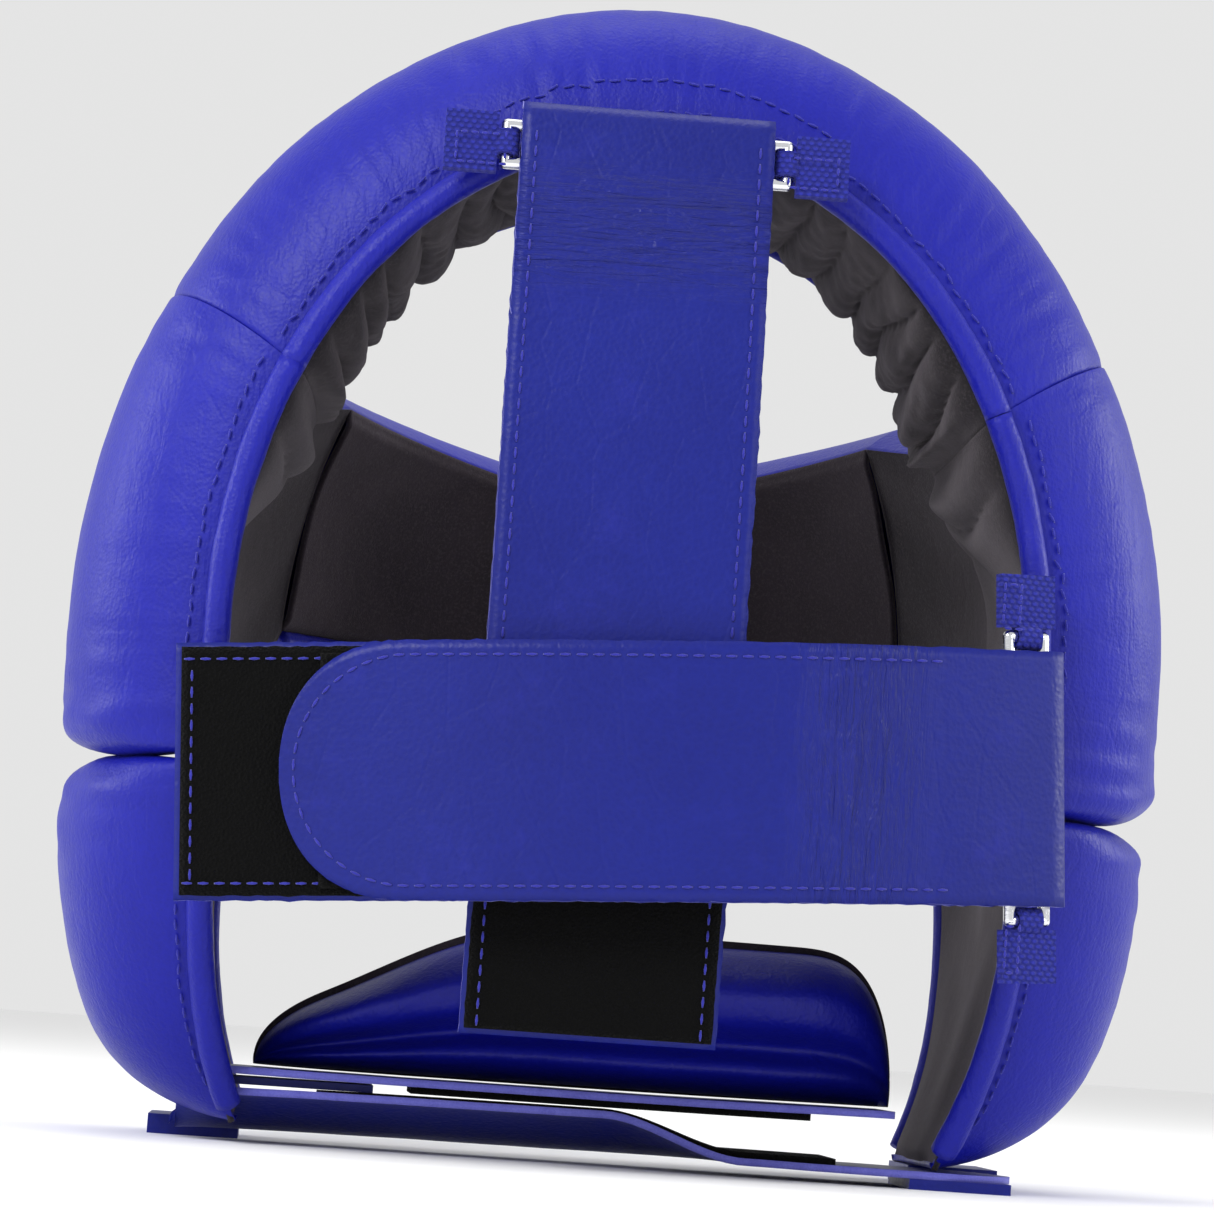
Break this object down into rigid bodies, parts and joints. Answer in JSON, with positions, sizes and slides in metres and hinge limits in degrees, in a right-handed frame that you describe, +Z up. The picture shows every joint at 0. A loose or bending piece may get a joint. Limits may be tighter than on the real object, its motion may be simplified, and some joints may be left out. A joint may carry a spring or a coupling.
{
  "type": "boxing headgear",
  "caption": "Open-face padded leather boxing headgear with crown pad, brow pad, jaw pads, ringed hook-and-loop straps and a chin cup.",
  "frame": {"origin": "centre of the bounding box, on the surface that the headgear stands on", "axes": "+Z up, +Y towards the wearer's face, +X towards the wearer's right"},
  "size_m": [0.2378, 0.2327, 0.251],
  "materials": {
    "leather": "smooth grain leather, soft sheen",
    "rolled_leather": "rolled and stitched",
    "strap_leather": "smooth strap leather, raw cut edges",
    "suede": "napped suede",
    "foam": "closed-cell foam",
    "webbing": "coarse woven",
    "loop_tape": "looped pile",
    "hook_tape": "moulded hooks",
    "ring_chrome": "polished wire"
  },
  "bodies": {
    "shell": {"crown_cover": "leather", "crown_foam": "foam", "crown_lining": "suede", "forehead_cover": "leather", "forehead_foam": "foam", "forehead_lining": "suede", "left_temple_cover": "leather", "left_temple_foam": "foam", "left_temple_lining": "suede", "right_temple_cover": "leather", "right_temple_foam": "foam", "right_temple_lining": "suede", "left_jaw_cover": "leather", "left_jaw_foam": "foam", "left_jaw_lining": "suede", "right_jaw_cover": "leather", "right_jaw_foam": "foam", "right_jaw_lining": "suede", "crown_rim": "rolled_leather", "left_rim": "rolled_leather", "right_rim": "rolled_leather", "crown_front_binding": "rolled_leather", "brow_binding": "rolled_leather", "left_face_binding": "rolled_leather", "right_face_binding": "rolled_leather", "crown_ring": "ring_chrome", "side_ring": "ring_chrome", "crown_tab_left": "webbing", "crown_tab_right": "webbing", "side_tab_upper": "webbing", "side_tab_lower": "webbing", "rear_strap_base": "strap_leather", "crown_strap_base": "strap_leather", "crown_flap": "strap_leather", "left_corner_tab": "strap_leather", "right_corner_tab": "strap_leather", "left_base_patch": "strap_leather", "right_base_patch": "strap_leather", "rear_loop_tape": "loop_tape", "crown_loop_tape": "loop_tape", "crown_hook_tape": "hook_tape"},
    "rear_strap_end": {"rear_flap": "strap_leather", "rear_hook_tape": "hook_tape"},
    "chin_cup_strap": {"chin_strap": "strap_leather", "chin_loop_tape": "loop_tape", "chin_cup_cover": "leather", "chin_cup_foam": "foam", "chin_cup_lining": "suede"},
    "chin_strap_end": {"chin_flap": "strap_leather", "chin_hook_tape": "hook_tape"}
  },
  "joints": [
    {"name": "rear_strap_peel", "type": "hinge", "parent": "shell", "child": "rear_strap_end", "pos_m": [0.07562, -0.10151, 0.08689], "axis": [-0.0645, 0, 0.9979], "range_deg": [0, 100]},
    {"name": "chin_cup_swing", "type": "hinge", "parent": "shell", "child": "chin_cup_strap", "pos_m": [-0.06, -0.03818, 0.015], "axis": [0, 0, 1], "range_deg": [0, 78]},
    {"name": "chin_strap_swing", "type": "hinge", "parent": "shell", "child": "chin_strap_end", "pos_m": [0.076, -0.03818, 0.0034], "axis": [0, 0, 1], "range_deg": [0, 95]}
  ]
}
